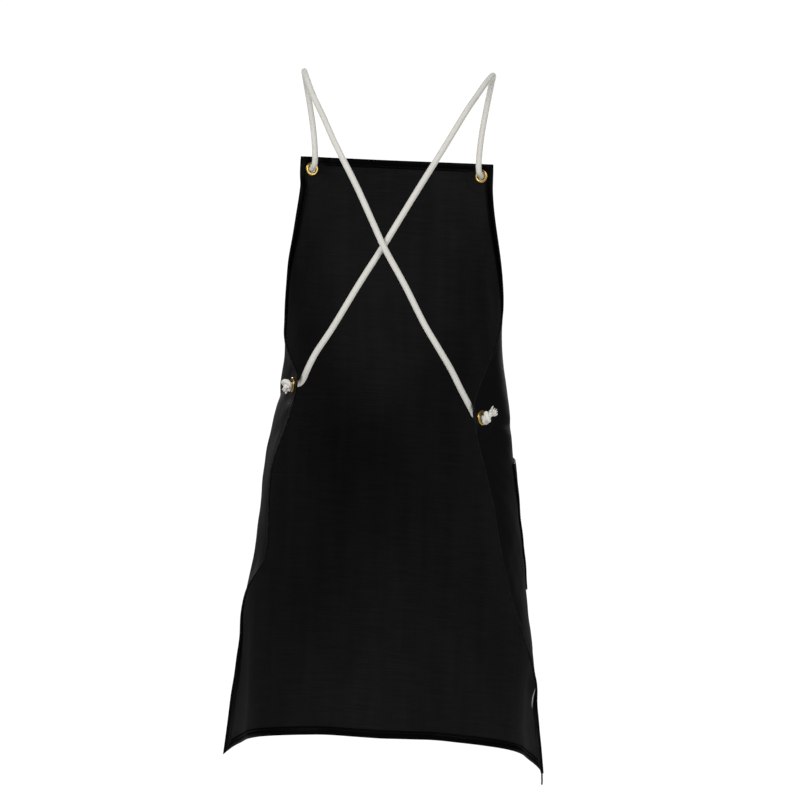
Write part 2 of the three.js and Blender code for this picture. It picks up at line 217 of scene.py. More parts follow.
# Its place on the cut, then how its knot stands, with turns in degrees.
Eyelet = namedtuple("Eyelet", "name across up stand reach turn tail lean frayed")
EYELETS = (
    Eyelet("waist_right", 0.297, 0.520, 0.0085, 0.0115, 300, -12, 38, 0.0100),
    Eyelet("waist_left", -0.297, 0.520, 0.0062, 0.0085, 240, -114, 67, 0.0066),
    Eyelet("bib_right", 0.127, 0.832, 0.0072, 0.0110, 0, 165, 65, 0.0100),
    Eyelet("bib_left", -0.127, 0.832, 0.0072, 0.0110, 60, 190, 65, 0.0090),
)
FLAT_RADIUS, PATCH_RADIUS, PATCH_EASE, HOLE_RADIUS = 0.016, 0.024, 0.001, 0.0073
LATTICE = 0.002


def smoothstep(value, start, end):
    t = np.clip((value - start) / (end - start), 0, 1)
    return t * t * (3 - 2 * t)


def level_values(ups):
    """The levels' values at any heights: a smooth curve through the rows of the table."""
    heights = np.array([level.up for level in LEVELS])
    rows = np.array([(*level[1:6], *level.right, *level.left) for level in LEVELS])
    after = np.minimum(np.arange(len(rows)) + 1, len(rows) - 1)
    before = np.maximum(np.arange(len(rows)) - 1, 0)
    slopes = (rows[after] - rows[before]) / (heights[after] - heights[before])[:, None]
    row = np.clip(np.searchsorted(heights, ups, side="right") - 1, 0, len(rows) - 2)
    span = (heights[row + 1] - heights[row])[:, None]
    t = (ups - heights[row])[:, None] / span
    start, end = rows[row], rows[row + 1]
    rise, fall = slopes[row] * span, slopes[row + 1] * span
    bend = 2 * (start - end) + rise + fall
    return start + t * (rise + t * (3 * (end - start) - 2 * rise - fall + t * bend))


def worn_form():
    """The outer face before folds, on a lattice of the cut, and its outward normals."""
    ups = np.linspace(0, CUT_LENGTH, round(CUT_LENGTH / LATTICE) + 1)
    walk = np.linspace(0, CUT_HALF, round(CUT_HALF / LATTICE) + 1)
    values = level_values(ups)
    front, shift, tilt, sag, corner = (values[:, i:i + 1] for i in range(5))
    middles, stride = (walk[1:] + walk[:-1]) / 2, walk[1] - walk[0]
    halves = []
    for side, turns in ((-1, values[:, 10:]), (1, values[:, 5:10])):
        turn = np.radians([np.interp(middles, STATIONS, row) for row in turns])
        out = shift + side * np.cumsum(np.cos(turn), axis=1) * stride
        back = front - np.cumsum(np.sin(turn), axis=1) * stride
        halves.append(np.stack([out, back], axis=2)[:, ::side])
    centre = np.stack([shift, front], axis=2)
    plan = np.concatenate([halves[0], centre, halves[1]], axis=1)
    climb = np.full(plan.shape[:2], ups[1] - ups[0]) ** 2
    climb[0] = 0
    climb[1:] -= (np.diff(plan, axis=0) ** 2).sum(2)
    share = np.linspace(-1, 1, plan.shape[1])[None, :]
    height = HEM_HEIGHT - tilt * share - sag * share**2 - corner * share**14
    height = height + np.cumsum(np.sqrt(np.maximum(climb, 0)), axis=0)
    form = np.concatenate([plan, height[:, :, None]], axis=2)
    normal = np.cross(np.gradient(form, axis=0), np.gradient(form, axis=1))
    return form, normal / np.linalg.norm(normal, axis=2, keepdims=True)


form_lattice, normal_lattice = worn_form()


def on_lattice(field, across, up):
    """Reads a lattice at places on the cut, in between its points."""
    column = np.clip((across + CUT_HALF) / (2 * CUT_HALF), 0, 1) * (field.shape[1] - 1)
    row = np.clip(up / CUT_LENGTH, 0, 1) * (field.shape[0] - 1)
    left = np.minimum(column.astype(int), field.shape[1] - 2)
    low = np.minimum(row.astype(int), field.shape[0] - 2)
    right_share, high_share = (column - left)[..., None], (row - low)[..., None]
    below = field[low, left] * (1 - right_share) + field[low, left + 1] * right_share
    above = field[low + 1, left] * (1 - right_share) + field[low + 1, left + 1] * right_share
    return below * (1 - high_share) + above * high_share


def fold_height(across, up):
    height = np.zeros(np.shape(across))
    for fold in FOLDS:
        lean = math.radians(fold.lean)
        right, above = across - fold.across, up - fold.up
        side = (right * math.cos(lean) - above * math.sin(lean)) / fold.wide
        line = (right * math.sin(lean) + above * math.cos(lean)) / fold.tall
        height = height + fold.height * np.exp(-2 * (side**2 + line**2))
    return height


def crumple_height(across, up):
    """Slight unevenness of a limp coated sheet: waves whose crests drift, so that they don't line up."""

    def swing(wave, right, above):
        return wave.height * np.sin(2 * math.pi * (wave.across * right + wave.up * above) + wave.phase)

    right, above = across + swing(DRIFTS[0], across, up), up + swing(DRIFTS[1], across, up)
    return sum(swing(wave, right, above) for wave in CRUMPLE)


Seat = namedtuple("Seat", (*Eyelet._fields, "centre", "along", "normal", "rise"))


def seat_of(eyelet):
    """Centre and directions of the flat sheet at an eyelet."""
    across, up, reach = np.array(eyelet.across), np.array(eyelet.up), LATTICE
    along = on_lattice(form_lattice, across + reach, up) - on_lattice(form_lattice, across - reach, up)
    rise = on_lattice(form_lattice, across, up + reach) - on_lattice(form_lattice, across, up - reach)
    along /= np.linalg.norm(along)
    normal = np.cross(rise, along)
    normal /= np.linalg.norm(normal)
    centre = on_lattice(form_lattice, across, up) + normal * fold_height(across, up)
    return Seat(*eyelet, centre, along, normal, np.cross(along, normal))


seats = [seat_of(eyelet) for eyelet in EYELETS]


def sheet_place(across, up, lift=0.0):
    """Places on the worn sheet, lifted off its outer face. Round an eyelet the sheet lies flat."""
    across, up, lift = np.broadcast_arrays(np.asarray(across, float), np.asarray(up, float), lift)
    raised = fold_height(across, up) + crumple_height(across, up) + lift
    place = on_lattice(form_lattice, across, up)
    place = place + on_lattice(normal_lattice, across, up) * raised[..., None]
    for seat in seats:
        right, above = across - seat.across, up - seat.up
        flat = seat.centre + right[..., None] * seat.along + above[..., None] * seat.rise
        flat = flat + lift[..., None] * seat.normal
        near = 1 - smoothstep(np.hypot(right, above), FLAT_RADIUS, 2 * FLAT_RADIUS)
        place = place + (flat - place) * near[..., None]
    return place


def half_width(up):
    """Half the cut's width: straight sides, a rounded waist corner, then the hollow armhole."""
    left = np.maximum((CUT_LENGTH - up) / (CUT_LENGTH - SIDE_LENGTH), 0)
    armhole = BIB_HALF + (CUT_HALF - BIB_HALF) * left**ARMHOLE_POWER
    corner = np.maximum(1 - np.abs(CUT_HALF - armhole) / CORNER_ROUNDING, 0)
    return np.minimum(CUT_HALF, armhole) - corner**2 * CORNER_ROUNDING / 4


def edge_slant(up):
    return np.hypot(1, (half_width(up + 0.001) - half_width(up - 0.001)) / 0.002)


def edge_distance(across, up):
    from_side = (half_width(up) - np.abs(across)) / edge_slant(up)
    return np.maximum(np.minimum(from_side, np.minimum(up, CUT_LENGTH - up)), 0)


# Distances from an edge at which the mesh has lines: round the fold, over the hem to its seam, and down the
# step of its cut edge.
EDGE_RADIUS, HEM_SEAM = SHEET * 1.04, 0.0094
STEP_START, STEP_END, TURNING_SEEN = 0.01165, 0.01225, 0.0121
HEM_LINES = np.array([
    0, 0.00008, 0.0003, 0.0007, 0.0013, 0.0030, 0.0055, 0.0078, 0.0088, HEM_SEAM, 0.0100, 0.0108, STEP_START,
    0.0120, STEP_END, 0.0130,
])
DOUBLED, HEM_PUFF = SHEET + 0.0001, 0.0005
SEAM_DEPTH, OUTER_DEPTH = 0.0003, 0.00025


def rounded(distance, radius):
    """How far a face drops towards a folded edge."""
    share = np.clip(1 - distance / radius, 0, 1)
    return radius * (1 - np.sqrt(1 - share**2))


def seam_dip(distance, seam, depth, width=0.0011):
    return depth * np.exp(-((distance - seam) / width) ** 2)


def body_thickness(across, up):
    """The sheet, doubled where the hem is turned in and puffed between its seam and its fold."""
    distance = edge_distance(across, up)
    turned = 1 - smoothstep(distance, STEP_START, STEP_END)
    puff = HEM_PUFF * np.sin(np.pi * np.clip(distance / HEM_SEAM, 0, 1))
    puff = puff - seam_dip(distance, HEM_SEAM, SEAM_DEPTH)
    patched = np.zeros(np.shape(distance))
    for eyelet in EYELETS:
        from_eyelet = np.hypot(across - eyelet.across, up - eyelet.up)
        beyond = smoothstep(from_eyelet, PATCH_RADIUS - PATCH_EASE, PATCH_RADIUS + PATCH_EASE)
        patched = np.maximum(patched, 1 - beyond)
    return SHEET + np.maximum(turned * (DOUBLED + puff), patched * DOUBLED)


def shell(across, up, outer, inner, holes=()):
    """Points and faces of a sheet between two lifts off the worn form. The two faces meet along the border,
    and each hole has its own wall. Also gives which faces are on the inside."""
    rows, columns = across.shape
    gone = np.zeros((rows - 1, columns - 1), bool)
    for hole in holes:
        right, above = across - hole.across, up - hole.up
        reach = np.hypot(right, above)
        inside = reach < HOLE_RADIUS
        gone |= inside[:-1, :-1] & inside[1:, :-1] & inside[1:, 1:] & inside[:-1, 1:]
        push = np.where(inside, HOLE_RADIUS / np.maximum(reach, 1e-6), 1)
        across, up = hole.across + right * push, hole.up + above * push
    border = np.ones((rows, columns), bool)
    border[1:-1, 1:-1] = False
    outside = np.arange(rows * columns).reshape(rows, columns)
    within = outside.copy()
    within[~border] = rows * columns + np.arange((~border).sum())
    points = np.concatenate([
        sheet_place(across, up, outer).reshape(-1, 3), sheet_place(across, up, inner)[~border].reshape(-1, 3),
    ])
    cut = np.stack([across, up, edge_distance(across, up)], axis=2)
    cut = np.concatenate([cut.reshape(-1, 3), cut[~border]])

    def quads(index):
        corners = [index[:-1, :-1], index[1:, :-1], index[1:, 1:], index[:-1, 1:]]
        return np.stack(corners, axis=2)[~gone]

    walls = []
    for row, column in np.argwhere(gone):
        ring = [(row, column), (row + 1, column), (row + 1, column + 1), (row, column + 1)]
        for (step_row, step_column), start, end in zip(
            ((0, -1), (1, 0), (0, 1), (-1, 0)), ring, ring[1:] + ring[:1]
        ):
            if not gone[row + step_row, column + step_column]:
                walls.append([outside[start], outside[end], within[end], within[start]])
    walls = np.array(walls, int).reshape(-1, 4)
    outer_faces, inner_faces = quads(outside), quads(within)[:, ::-1]
    is_inner = np.zeros(len(outer_faces) + len(inner_faces) + len(walls), bool)
    is_inner[len(outer_faces):len(outer_faces) + len(inner_faces)] = True
    return points, np.concatenate([outer_faces, inner_faces, walls]), cut, is_inner


def add_piece(name, points, faces, finishes, attributes=()):
    """A smooth mesh object at the origin, with its finishes and its named values at each point."""
    mesh = bpy.data.meshes.new(name)
    mesh.from_pydata(np.asarray(points).tolist(), [], [list(map(int, face)) for face in faces])
    mesh.polygons.foreach_set("use_smooth", np.ones(len(mesh.polygons), bool))
    for attribute, values in dict(attributes).items():
        values = np.asarray(values, np.float32)
        kind, field = ("FLOAT", "value") if values.ndim == 1 else ("FLOAT_VECTOR", "vector")
        mesh.attributes.new(attribute, kind, "POINT").data.foreach_set(field, values.ravel())
    for finish in finishes:
        mesh.materials.append(finish)
    mesh.update()
    return add_object(name, mesh)


def with_painted_highlight(colour):
    """The colour of a face, or pale grey where a highlight of the twisting turning is painted on."""
    highlight_mask = colour.node("Attribute", output=2, attribute_name="highlight_mask")
    return highlight_mask.mixed(colour, (0.38, 0.38, 0.39, 1))


def vinyl_finish(name, gloss):
    """Satin black vinyl: a fine pressed grain, faint handling marks, and a dull worn line on folded edges."""
    finish, shader, tone = new_finish(name, {"Specular IOR Level": gloss})
    cut = tone.node("Attribute", output=1, attribute_name="cut")
    from_edge = tone.node("SeparateXYZ", {0: cut}, output=2)
    flat = tone.node("VectorMath", {0: cut, 1: (1, 1, 0)}, operation="MULTIPLY")
    clouds = tone.node("TexNoise", {"Vector": flat, "Scale": 9, "Detail": 4, "Roughness": 0.6})
    marks = tone.node("TexNoise", {"Vector": flat, "Scale": 120, "Detail": 3, "Roughness": 0.7})
    grain = tone.node("TexVoronoi", {"Vector": flat, "Scale": 750, "Randomness": 0.9}, feature="SMOOTH_F1")
    folded = 1 - from_edge.ramp(0.0002, 0.0022)
    worn = folded * marks.ramp(0.42, 0.62)
    colour = clouds.mixed((0.0006, 0.0006, 0.0009, 1), (0.0012, 0.0012, 0.0016, 1))
    colour = worn.mixed(colour, (0.005, 0.005, 0.0055, 1))
    # The painted highlight on the right turning is mixed into this colour.
    with_painted_highlight(colour).feed(shader.inputs["Base Color"])
    (0.32 + clouds * 0.14 + marks * 0.07 + folded * 0.25).feed(shader.inputs["Roughness"])
    relief = grain * 0.00009 + marks * 0.00012
    bump = tone.node("Bump", {"Height": relief, "Strength": 0.6, "Distance": 1.0})
    bump.feed(shader.inputs["Normal"])
    return finish


COURSE_PITCH, WALE_PITCH = 0.0017, 0.0014


def backing_finish():
    """The knitted backing of the vinyl: dark grey yarn in fine courses, with soft streaks along its wales."""
    finish, shader, tone = new_finish("grey_backing", {"Specular IOR Level": 0.06, "Sheen Weight": 0.03})
    cut = tone.node("Attribute", output=1, attribute_name="cut")

    def stretched(across, up, detail):
        """Noise drawn out along one direction of the cut, by how often it changes in a metre."""
        place = tone.node("VectorMath", {0: cut, 1: (across, up, 0)}, operation="MULTIPLY")
        return tone.node("TexNoise", {"Vector": place, "Scale": 1, "Detail": detail, "Roughness": 0.6})

    courses, streaks, clouds = stretched(18, 420, 2), stretched(55, 5, 3), stretched(9, 7, 3)
    wobble = stretched(60, 60, 2)
    across = tone.node("SeparateXYZ", {0: cut}, output=0)
    up = tone.node("SeparateXYZ", {0: cut}, output=1)
    course = up.math("SINE", up * (2 * math.pi / COURSE_PITCH) + wobble * 5)
    wale = across.math("SINE", across * (2 * math.pi / WALE_PITCH) + wobble * 4)
    yarn = course * 0.5 + wale * 0.35
    shade = courses * 0.45 + streaks * 0.30 + clouds * 0.25 + yarn * 0.05
    colour = shade.ramp(0.32, 0.68).mixed((0.0046, 0.0046, 0.0047, 1), (0.0098, 0.0096, 0.0094, 1))
    # The painted highlight on the right turning is mixed into this colour.
    with_painted_highlight(colour).feed(shader.inputs["Base Color"])
    (0.80 + courses * 0.16).feed(shader.inputs["Roughness"])
    relief = yarn * 0.00012 + courses * 0.00012
    bump = tone.node("Bump", {"Height": relief, "Strength": 0.7, "Distance": 1.0})
    bump.feed(shader.inputs["Normal"])
    return finish


# The turning lies pressed flat inside the hem and has next to no sheen.
black_vinyl, turned_vinyl = vinyl_finish("black_vinyl", 0.15), vinyl_finish("turned_vinyl", 0.03)
grey_backing = backing_finish()


COARSE, FINE, MIDDLE_COLUMNS = 0.0046, 0.0016, 124
WAIST_BAND, BIB_BAND, SIDE_BAND = (0.494, 0.546), 0.808, 0.035


def body_lines():
    """Rows and columns of the sheet's mesh: close at the hems and round the eyelets, wider elsewhere."""

    def between(start, end, step):
        return np.linspace(start, end, math.ceil((end - start) / step), endpoint=False)

    rows = np.concatenate([
        HEM_LINES,
        between(0.0165, WAIST_BAND[0], COARSE),
        between(*WAIST_BAND, FINE),
        between(WAIST_BAND[1], BIB_BAND, COARSE),
        between(BIB_BAND, CUT_LENGTH - HEM_LINES[-1] - FINE / 2, FINE),
        CUT_LENGTH - HEM_LINES[::-1],
    ])
    insets = np.concatenate([HEM_LINES, between(0.0145, SIDE_BAND, FINE)])
    middle = np.linspace(-1, 1, MIDDLE_COLUMNS)
    across = []
    for up in rows:
        half, slant = half_width(up), edge_slant(up)
        border = half - insets * slant
        inner = border[-1] - FINE * slant
        across.append(np.concatenate([-border, middle * inner, border[::-1]]))
    return np.array(across), np.repeat(rows[:, None], len(across[0]), axis=1)


body_across, body_up = body_lines()
body_edge = edge_distance(body_across, body_up)
body_outer = -rounded(body_edge, EDGE_RADIUS) - seam_dip(body_edge, HEM_SEAM, OUTER_DEPTH)
body_inner = rounded(body_edge, EDGE_RADIUS) - np.where(
    body_edge < EDGE_RADIUS, 2 * EDGE_RADIUS, body_thickness(body_across, body_up)
)
points, faces, cut, is_inner = shell(body_across, body_up, body_outer, body_inner, EYELETS)

# Where the turning of the right side lifts and twists, low down, a highlight is painted on its inner face as
# a narrow pale wedge.
HIGHLIGHT_TOP, HIGHLIGHT_BOTTOM = (0.3005, 0.119), (0.2955, 0.086)
HIGHLIGHT_HALF, HIGHLIGHT_SOFT = 0.0044, 0.0012
down = np.clip((HIGHLIGHT_TOP[1] - cut[:, 1]) / (HIGHLIGHT_TOP[1] - HIGHLIGHT_BOTTOM[1]), 0, 1)
from_line = np.abs(cut[:, 0] - HIGHLIGHT_TOP[0] - down * (HIGHLIGHT_BOTTOM[0] - HIGHLIGHT_TOP[0]))
highlight_mask = 1 - smoothstep(from_line, HIGHLIGHT_HALF * (1 - down), HIGHLIGHT_HALF * (1 - down) + HIGHLIGHT_SOFT)
highlight_mask *= (cut[:, 1] < HIGHLIGHT_TOP[1] + HIGHLIGHT_SOFT) & (cut[:, 1] > HIGHLIGHT_BOTTOM[1])
highlight_mask[:body_across.size] = 0
finishes = [black_vinyl, turned_vinyl, grey_backing]
apron = add_piece("apron_sheet", points, faces, finishes, {"cut": cut, "highlight_mask": highlight_mask})
is_backing = is_inner & (cut[faces, 2].min(axis=1) > TURNING_SEEN)
apron.data.polygons.foreach_set("material_index", is_inner.astype(np.int32) + is_backing)
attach(apron, "root")
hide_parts("apron_body")


# The seams: lockstitches of black polyester thread that hold the turned hem down all round the sheet, seen
# on both faces. A short end of thread hangs from the right hem corner, where the seam was finished.
STITCH_LENGTH, STITCH_PITCH, STITCH_LIFT, THREAD = 0.0032, 0.0040, 0.0001, 0.00036


def thread_finish():
    finish, shader, tone = new_finish("black_thread", {"Specular IOR Level": 0.12})
    place = tone.node("TexCoord", output=3)
    fibre = tone.node("TexNoise", {"Vector": place, "Scale": 900, "Detail": 2})
    fibre.mixed((0.0016, 0.0016, 0.002, 1), (0.005, 0.005, 0.006, 1)).feed(shader.inputs["Base Color"])
    (0.4 + fibre * 0.3).feed(shader.inputs["Roughness"])
    return finish


black_thread = thread_finish()


def stitch_tree():
    """Geometry nodes that lay one stitch after another along the edges of a mesh."""
    tree = bpy.data.node_groups.new("lockstitches", "GeometryNodeTree")
    sockets = {
        "Seam": "Geometry", "Length": "Float", "Pitch": "Float", "Thread": "Float", "Finish": "Material",
    }
    inputs = {
        name: tree.interface.new_socket(name, in_out="INPUT", socket_type="NodeSocket" + kind).identifier
        for name, kind in sockets.items()
    }
    tree.interface.new_socket("Stitches", in_out="OUTPUT", socket_type="NodeSocketGeometry")

    def node(kind, links, **settings):
        made = tree.nodes.new(kind)
        for name, value in settings.items():
            setattr(made, name, value)
        for name, source in links.items():
            if hasattr(source, "is_output"):
                tree.links.new(source, made.inputs[name])
            else:
                made.inputs[name].default_value = source
        return made.outputs

    given = node("NodeGroupInput", {})
    curve = node("GeometryNodeMeshToCurve", {"Mesh": given["Seam"]})[0]
    points = node("GeometryNodeCurveToPoints", {"Curve": curve, "Length": given["Pitch"]}, mode="LENGTH")
    grain = node("GeometryNodeMeshUVSphere", {"Segments": 6, "Rings": 4, "Radius": 1.0})[0]
    half = node("ShaderNodeMath", {0: given["Length"], 1: 0.5}, operation="MULTIPLY")[0]
    size = node("ShaderNodeCombineXYZ", {0: given["Thread"], 1: given["Thread"], 2: half})[0]
    stitch = node("GeometryNodeTransform", {"Geometry": grain, "Scale": size})[0]
    laid = node("GeometryNodeInstanceOnPoints", {
        "Points": points["Points"], "Instance": stitch, "Rotation": points["Rotation"],
    })[0]
    real = node("GeometryNodeRealizeInstances", {"Geometry": laid})[0]
    done = node("GeometryNodeSetMaterial", {"Geometry": real, "Material": given["Finish"]})[0]
    node("NodeGroupOutput", {"Stitches": done})
    return tree, inputs


lockstitches, stitch_inputs = stitch_tree()


def sew(name, lines):
    """A piece of stitches along lines of points; a line that ends where it starts is a closed seam."""
    edges, total = [], 0
    for line in lines:
        edges += [(total + i, total + i + 1) for i in range(len(line) - 1)]
        total += len(line)
    mesh = bpy.data.meshes.new(name)
    mesh.from_pydata(np.concatenate(lines).tolist(), edges, [])
    seam = add_object(name, mesh)
    nodes = seam.modifiers.new("stitches", "NODES")
    nodes.node_group = lockstitches
    nodes[stitch_inputs["Length"]] = STITCH_LENGTH
    nodes[stitch_inputs["Pitch"]] = STITCH_PITCH
    nodes[stitch_inputs["Thread"]] = THREAD
    nodes[stitch_inputs["Finish"]] = black_thread
    bpy.context.view_layer.update()
    made = bpy.data.meshes.new_from_object(seam.evaluated_get(bpy.context.evaluated_depsgraph_get()))
    seam.modifiers.clear()
    seam.data = made
    made.name = name
    made.polygons.foreach_set("use_smooth", np.ones(len(made.polygons), bool))
    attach(seam, "root")
    return seam


def hem_seam(lift):
    """The seam's line round the cut, at one lift off the outer face."""
    low, high = HEM_SEAM, CUT_LENGTH - HEM_SEAM
    ups = np.linspace(low, high, 500)
    sides = half_width(ups) - HEM_SEAM * edge_slant(ups)
    bottom = np.linspace(-sides[0], sides[0], 260)
    top = np.linspace(sides[-1], -sides[-1], 120)
    across = np.concatenate([bottom, sides[1:-1], top, -sides[-2:0:-1], bottom[:1]])
    up = [np.full_like(bottom, low), ups[1:-1], np.full_like(top, high), ups[-2:0:-1], [low]]
    return sheet_place(across, np.concatenate(up), lift)


hem_stitches = [
    sew("hem_stitches_outside", [hem_seam(-STITCH_LIFT)]),
    sew("hem_stitches_inside", [hem_seam(-2 * SHEET - STITCH_LIFT)]),
]


def tube_faces(rings, sides, first=0):
    """Faces of a tube made of rings of points, with both its ends closed."""
    index = first + np.arange(rings * sides).reshape(rings, sides)
    beside = np.roll(index, -1, axis=1)
    around = np.stack([index[:-1], beside[:-1], beside[1:], index[1:]], axis=2).reshape(-1, 4)
    return [*around.tolist(), index[0][::-1].tolist(), index[-1].tolist()]


LOOSE_LENGTH, LOOSE_PLY, LOOSE_TWIST = 0.0155, 0.0008, 0.0056
LOOSE_STEPS, PLY_SIDES = 40, 6
leaves = sheet_place(CUT_HALF - 0.0045, 0.0045, -2 * SHEET - LOOSE_PLY)
corner = sheet_place(CUT_HALF - 0.0002, 0.0002, -2 * SHEET - LOOSE_PLY)
drop = np.linspace(0, 1, LOOSE_STEPS + 1)[:, None]
hanging = corner + drop * (0, 0, -LOOSE_LENGTH) + np.sin(3 * drop) * drop * (0.0005, -0.0008, 0)
thread_line = np.concatenate([leaves + np.linspace(0, 1, 9)[:-1, None] * (corner - leaves), hanging])
thread_points, thread_faces = [], []
for ply in (0, math.pi):
    along = np.arange(len(thread_line)) * LOOSE_LENGTH / LOOSE_STEPS
    twist = 2 * math.pi * along / LOOSE_TWIST + ply
    middle = thread_line + LOOSE_PLY * 0.8 * np.stack([np.cos(twist), np.sin(twist), 0 * twist], axis=1)
    round_ply = -2 * math.pi * np.arange(PLY_SIDES) / PLY_SIDES
    spokes = LOOSE_PLY * np.stack([np.cos(round_ply), np.sin(round_ply), 0 * round_ply], axis=1)
    thread_faces += tube_faces(len(middle), PLY_SIDES, len(thread_points) * PLY_SIDES * len(middle))
    thread_points.append((middle[:, None] + spokes).reshape(-1, 3))
loose_thread = add_piece("loose_thread", np.concatenate(thread_points), thread_faces, [black_thread])
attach(loose_thread, "root")
float(np.mean(2 * half_width(np.linspace(0, CUT_LENGTH, 2001))) * CUT_LENGTH)


# The pocket: a patch of the same vinyl on the right as worn, its edges turned under. It is sewn to the sheet
# on three sides with two rows of stitches and is a little slack at its mouth, which has a wider turning.
POCKET_FROM, POCKET_TO, POCKET_BOTTOM, POCKET_TOP = 0.075, 0.235, 0.2545, 0.440
POCKET_TURNING, MOUTH_TURNING, TURNING_STEP = 0.010, 0.020, 0.0003
POCKET_SLACK, POCKET_CLEAR = 0.0022, 0.0003
POCKET_SEAMS, MOUTH_SEAM = (0.0022, 0.0078), 0.0178


def pocket_depths(across, up):
    """Distance from the three sewn edges, and down from the mouth."""
    from_sides = np.minimum(across - POCKET_FROM, POCKET_TO - across)
    return np.minimum(from_sides, up - POCKET_BOTTOM), POCKET_TOP - up


def pocket_lifts(across, up):
    sewn, mouth = pocket_depths(across, up)
    fold = np.minimum(sewn, mouth)
    share = (2 * across - POCKET_FROM - POCKET_TO) / (POCKET_TO - POCKET_FROM - 2 * POCKET_TURNING)
    rise = np.maximum(up - POCKET_BOTTOM - POCKET_TURNING, 0) / (POCKET_TOP - POCKET_BOTTOM - POCKET_TURNING)
    base = POCKET_CLEAR + POCKET_SLACK * np.maximum(1 - share**2, 0) * rise
    turned = np.maximum(
        1 - smoothstep(sewn, POCKET_TURNING - TURNING_STEP, POCKET_TURNING + TURNING_STEP),
        1 - smoothstep(mouth, MOUTH_TURNING - TURNING_STEP, MOUTH_TURNING + TURNING_STEP),
    )
    dip = sum(seam_dip(sewn, seam, SEAM_DEPTH) for seam in POCKET_SEAMS)
    dip = dip + seam_dip(mouth, MOUTH_SEAM, SEAM_DEPTH)
    drop = rounded(np.maximum(fold, 0), SHEET)
    return base + 2 * SHEET - drop - dip, base + drop + SHEET * (1 - turned) * (fold > SHEET)


def pocket_lines(start, end, first, last, step=0.0035):
    """Lines across the pocket, close at its turned edges."""
    turning = np.array([0, 0.00008, 0.0003, 0.0007, 0.0013, 0.0022, 0.0032, 0.0055, 0.0068, 0.0078, 0.0088])
    ends = np.array([-TURNING_STEP, 0, TURNING_STEP])
    low, high = start + first, end - last
    inner = np.linspace(low + 0.003, high - 0.003, round((high - low) / step))
    return np.concatenate([start + turning, low + ends, inner, high + ends, end - turning[::-1]])


pocket_columns = pocket_lines(POCKET_FROM, POCKET_TO, POCKET_TURNING, POCKET_TURNING)
pocket_rows = pocket_lines(POCKET_BOTTOM, POCKET_TOP, POCKET_TURNING, MOUTH_TURNING)
pocket_across, pocket_up = np.meshgrid(pocket_columns, pocket_rows)
points, faces, cut, is_inner = shell(pocket_across, pocket_up, *pocket_lifts(pocket_across, pocket_up))
sewn_depth, mouth_depth = pocket_depths(cut[:, 0], cut[:, 1])
cut[:, 2] = np.minimum(sewn_depth, mouth_depth)
pocket = add_piece("pocket_patch", points, faces, [black_vinyl, grey_backing], {"cut": cut})
is_backing = is_inner & (sewn_depth[faces].min(axis=1) > POCKET_TURNING)
is_backing &= mouth_depth[faces].min(axis=1) > MOUTH_TURNING
pocket.data.polygons.foreach_set("material_index", is_backing.astype(np.int32))
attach(pocket, "root")
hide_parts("pocket")


def pocket_seam(inset):
    """One row of stitches down one side of the pocket, along its bottom and up the other side."""
    low, left, right = POCKET_BOTTOM + inset, POCKET_FROM + inset, POCKET_TO - inset
    rise, run = np.linspace(low, POCKET_TOP - 0.002, 120), np.linspace(left, right, 120)
    across = np.concatenate([np.full_like(rise, left), run[1:-1], np.full_like(rise, right)])
    up = np.concatenate([rise[::-1], np.full_like(run[1:-1], low), rise])
    return sheet_place(across, up, pocket_lifts(across, up)[0] + STITCH_LIFT)


mouth_run = np.linspace(POCKET_FROM + 0.012, POCKET_TO - 0.012, 120)
mouth_up = np.full_like(mouth_run, POCKET_TOP - MOUTH_SEAM)
mouth_seam = sheet_place(mouth_run, mouth_up, pocket_lifts(mouth_run, mouth_up)[0] + STITCH_LIFT)
pocket_stitches = sew("pocket_stitches", [*(pocket_seam(inset) for inset in POCKET_SEAMS), mouth_seam])


# The eyelets: rolled brass rings set through the doubled sheet at the bib and the waist corners. Each has a
# domed flange outside, a short barrel and a flatter rolled rim inside.
BORE, BARREL, FLANGE = 0.0060, 0.0069, 0.0105
EYELET_BACK = -2 * SHEET - 0.0003
EYELET_SEGMENTS = 64


def brass_finish():
    """Plain pressed brass, dulled by handling in patches, with fine hairlines."""
    finish, shader, tone = new_finish("eyelet_brass", {"Metallic": 1.0})
    place = tone.node("TexCoord", output=3)
    dull = tone.node("TexNoise", {"Vector": place, "Scale": 260, "Detail": 4, "Roughness": 0.65})
    hairlines = tone.node("TexNoise", {"Vector": place, "Scale": 2400, "Detail": 2})
    colour = dull.ramp(0.35, 0.7).mixed((0.62, 0.43, 0.13, 1), (0.42, 0.28, 0.075, 1))
    colour.feed(shader.inputs["Base Color"])
    (0.24 + dull * 0.22).feed(shader.inputs["Roughness"])
    relief = hairlines * 0.00002 + dull * 0.00003
    bump = tone.node("Bump", {"Height": relief, "Strength": 0.5, "Distance": 1.0})
    bump.feed(shader.inputs["Normal"])
    return finish


eyelet_brass = brass_finish()


def eased(section, rounds=2):
    """A closed section with its corners cut round."""
    for _ in range(rounds):
        ahead = np.roll(section, -1, axis=0)
        pairs = [0.75 * section + 0.25 * ahead, 0.25 * section + 0.75 * ahead]
        section = np.stack(pairs, axis=1).reshape(-1, 2)
    return section


def seated(points, seat):
    """Points about an eyelet's own axis, +Y outwards, put in their place on the sheet."""
    return seat.centre + points @ np.array([seat.along, seat.normal, seat.rise])


